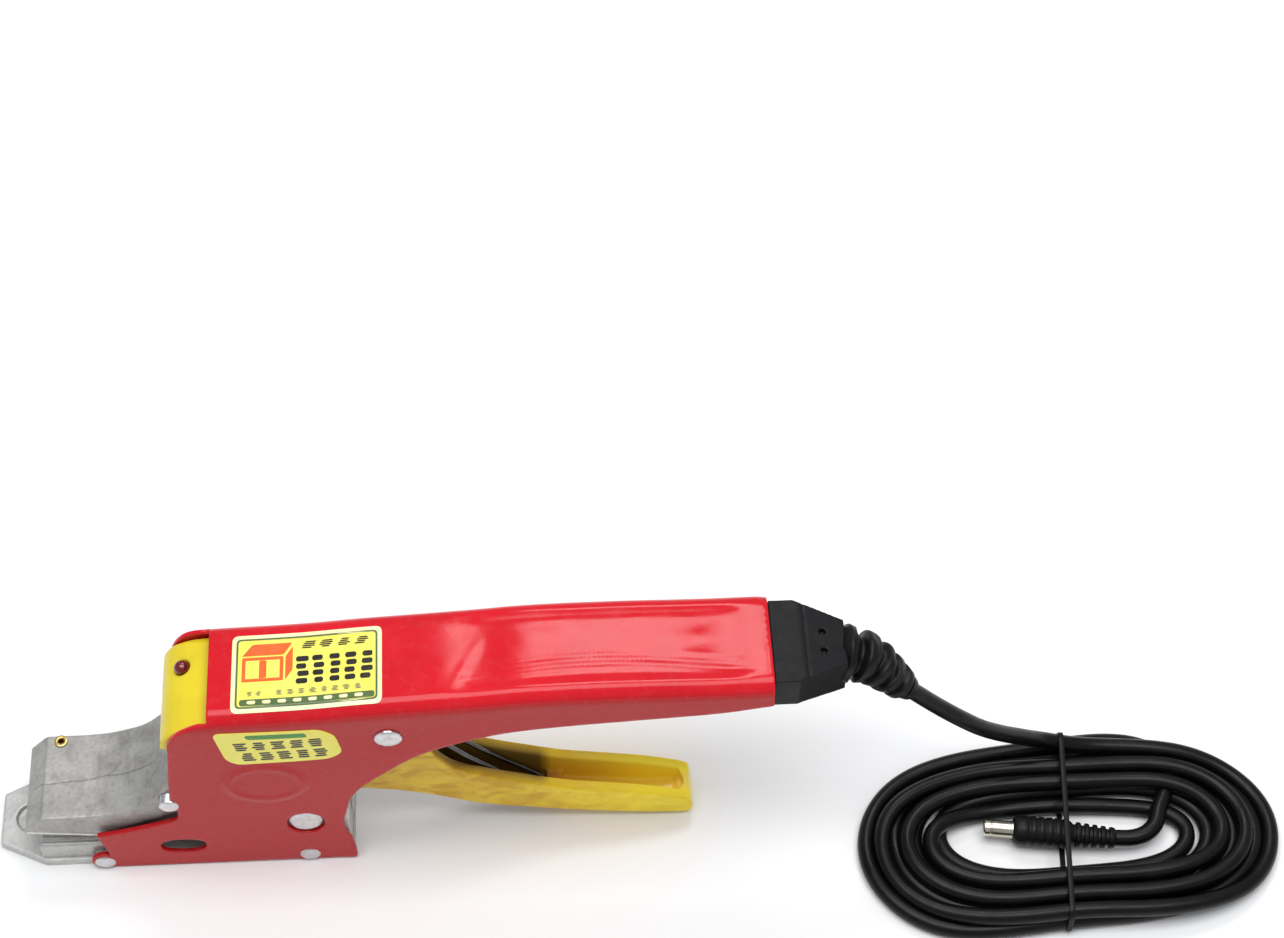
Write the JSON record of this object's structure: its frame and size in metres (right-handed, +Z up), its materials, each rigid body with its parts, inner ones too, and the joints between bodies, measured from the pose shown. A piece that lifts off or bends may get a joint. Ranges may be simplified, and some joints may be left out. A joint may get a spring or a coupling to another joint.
{
  "type": "strap heat-sealing pliers",
  "caption": "Hand-held electric pliers that weld plastic strapping: folded body, swinging jaw, sliding heated blade, squeeze trigger, and a low-voltage lead tied in a hank with its plug.",
  "frame": {"origin": "centre of the base plate's underside", "axes": "+X from the jaws to the handle and the cord, +Y across the tool, away from the side that carries the side label, +Z up"},
  "size_m": [0.411, 0.0788, 0.094],
  "materials": {
    "red_paint": "gloss",
    "base_casting": "cast, lightly brushed",
    "zinc_casting": "tumbled cast",
    "tool_steel": "ground",
    "dark_steel": "blackened",
    "yellow_plastic": "gloss",
    "lamp_red": "clear gloss",
    "board_green": "solder mask",
    "label_film": "printed film",
    "rivet_steel": "zinc plated",
    "cream_plastic": "moulded",
    "brass": "satin",
    "wire_black": "satin",
    "wire_red": "satin",
    "black_plastic": "moulded",
    "black_rubber": "satin",
    "cord_pvc": "satin",
    "tie_plastic": "satin",
    "nickel": "polished",
    "spring_steel": "black oxide",
    "blade_steel": "polished",
    "ceramic_white": "unglazed",
    "mica": "pressed mica board",
    "lead_sleeve": "woven glass sleeve"
  },
  "bodies": {
    "root": {"body_shell": "red_paint", "base_plate": "base_casting", "anvil": "tool_steel", "anvil_screws": "dark_steel", "rear_block": "zinc_casting", "front_cap": "yellow_plastic", "indicator_lamp": "lamp_red", "lamp_board": "board_green", "top_label": "label_film", "side_label": "label_film", "trigger_pin": "rivet_steel", "block_rivets": "rivet_steel", "base_rivets": "rivet_steel", "spring_seat": "rivet_steel", "terminal_block": "cream_plastic", "terminal_screws": "brass", "power_wires": "wire_black", "lamp_wires": "wire_red", "handle_socket": "black_plastic", "cord_connector": "black_plastic", "strain_relief": "black_rubber", "cord_lead": "cord_pvc", "cord_hank": "cord_pvc", "cord_tail": "cord_pvc", "cord_tie": "tie_plastic", "plug_body": "black_rubber", "plug_barrel": "nickel"},
    "jaw": {"upper_jaw": "zinc_casting", "jaw_pin": "rivet_steel", "jaw_eyelet": "brass", "jaw_spring": "spring_steel"},
    "blade_carriage": {"heater_blade": "blade_steel", "heater_element": "ceramic_white", "heater_clamp": "rivet_steel", "clamp_screws": "rivet_steel", "heat_insulator": "mica", "blade_carrier": "rivet_steel", "carrier_pin": "rivet_steel", "heater_leads": "lead_sleeve"},
    "trigger": {"trigger": "yellow_plastic", "trigger_bush": "brass", "trigger_spring": "spring_steel", "link_pin": "rivet_steel"},
    "pull_link": {"pull_link": "tool_steel"}
  },
  "joints": [
    {"name": "trigger_hinge", "type": "hinge", "parent": "root", "child": "trigger", "pos_m": [0.0715, 0, 0.0745], "axis": [0, -1, 0], "range_deg": [0, 30], "stiffness_Nm_per_rad": 0.4, "springref_deg": -20.05, "deforming": ["trigger_spring"]},
    {"name": "jaw_hinge", "type": "hinge", "parent": "root", "child": "jaw", "pos_m": [0.0015, 0, 0.0385], "axis": [0, -1, 0], "range_deg": [0, 10], "stiffness_Nm_per_rad": 0.5, "springref_deg": -11.46, "deforming": ["jaw_spring"]},
    {"name": "blade_slide", "type": "slide", "parent": "jaw", "child": "blade_carriage", "axis": [0.989, 0, -0.1478], "range_m": [0, 0.02], "deforming": ["heater_leads"]},
    {"name": "link_hinge", "type": "hinge", "parent": "trigger", "child": "pull_link", "pos_m": [0.06, 0, 0.03], "axis": [0, -1, 0], "range_deg": [-33.5, 0]}
  ],
  "couplings": [
    {"joint": "jaw_hinge", "follows": "trigger_hinge", "ratio": 0.3333},
    {"joint": "blade_slide", "follows": "trigger_hinge", "m_per_rad": 0.03819},
    {"joint": "link_hinge", "follows": "trigger_hinge", "ratio": -1.11}
  ]
}
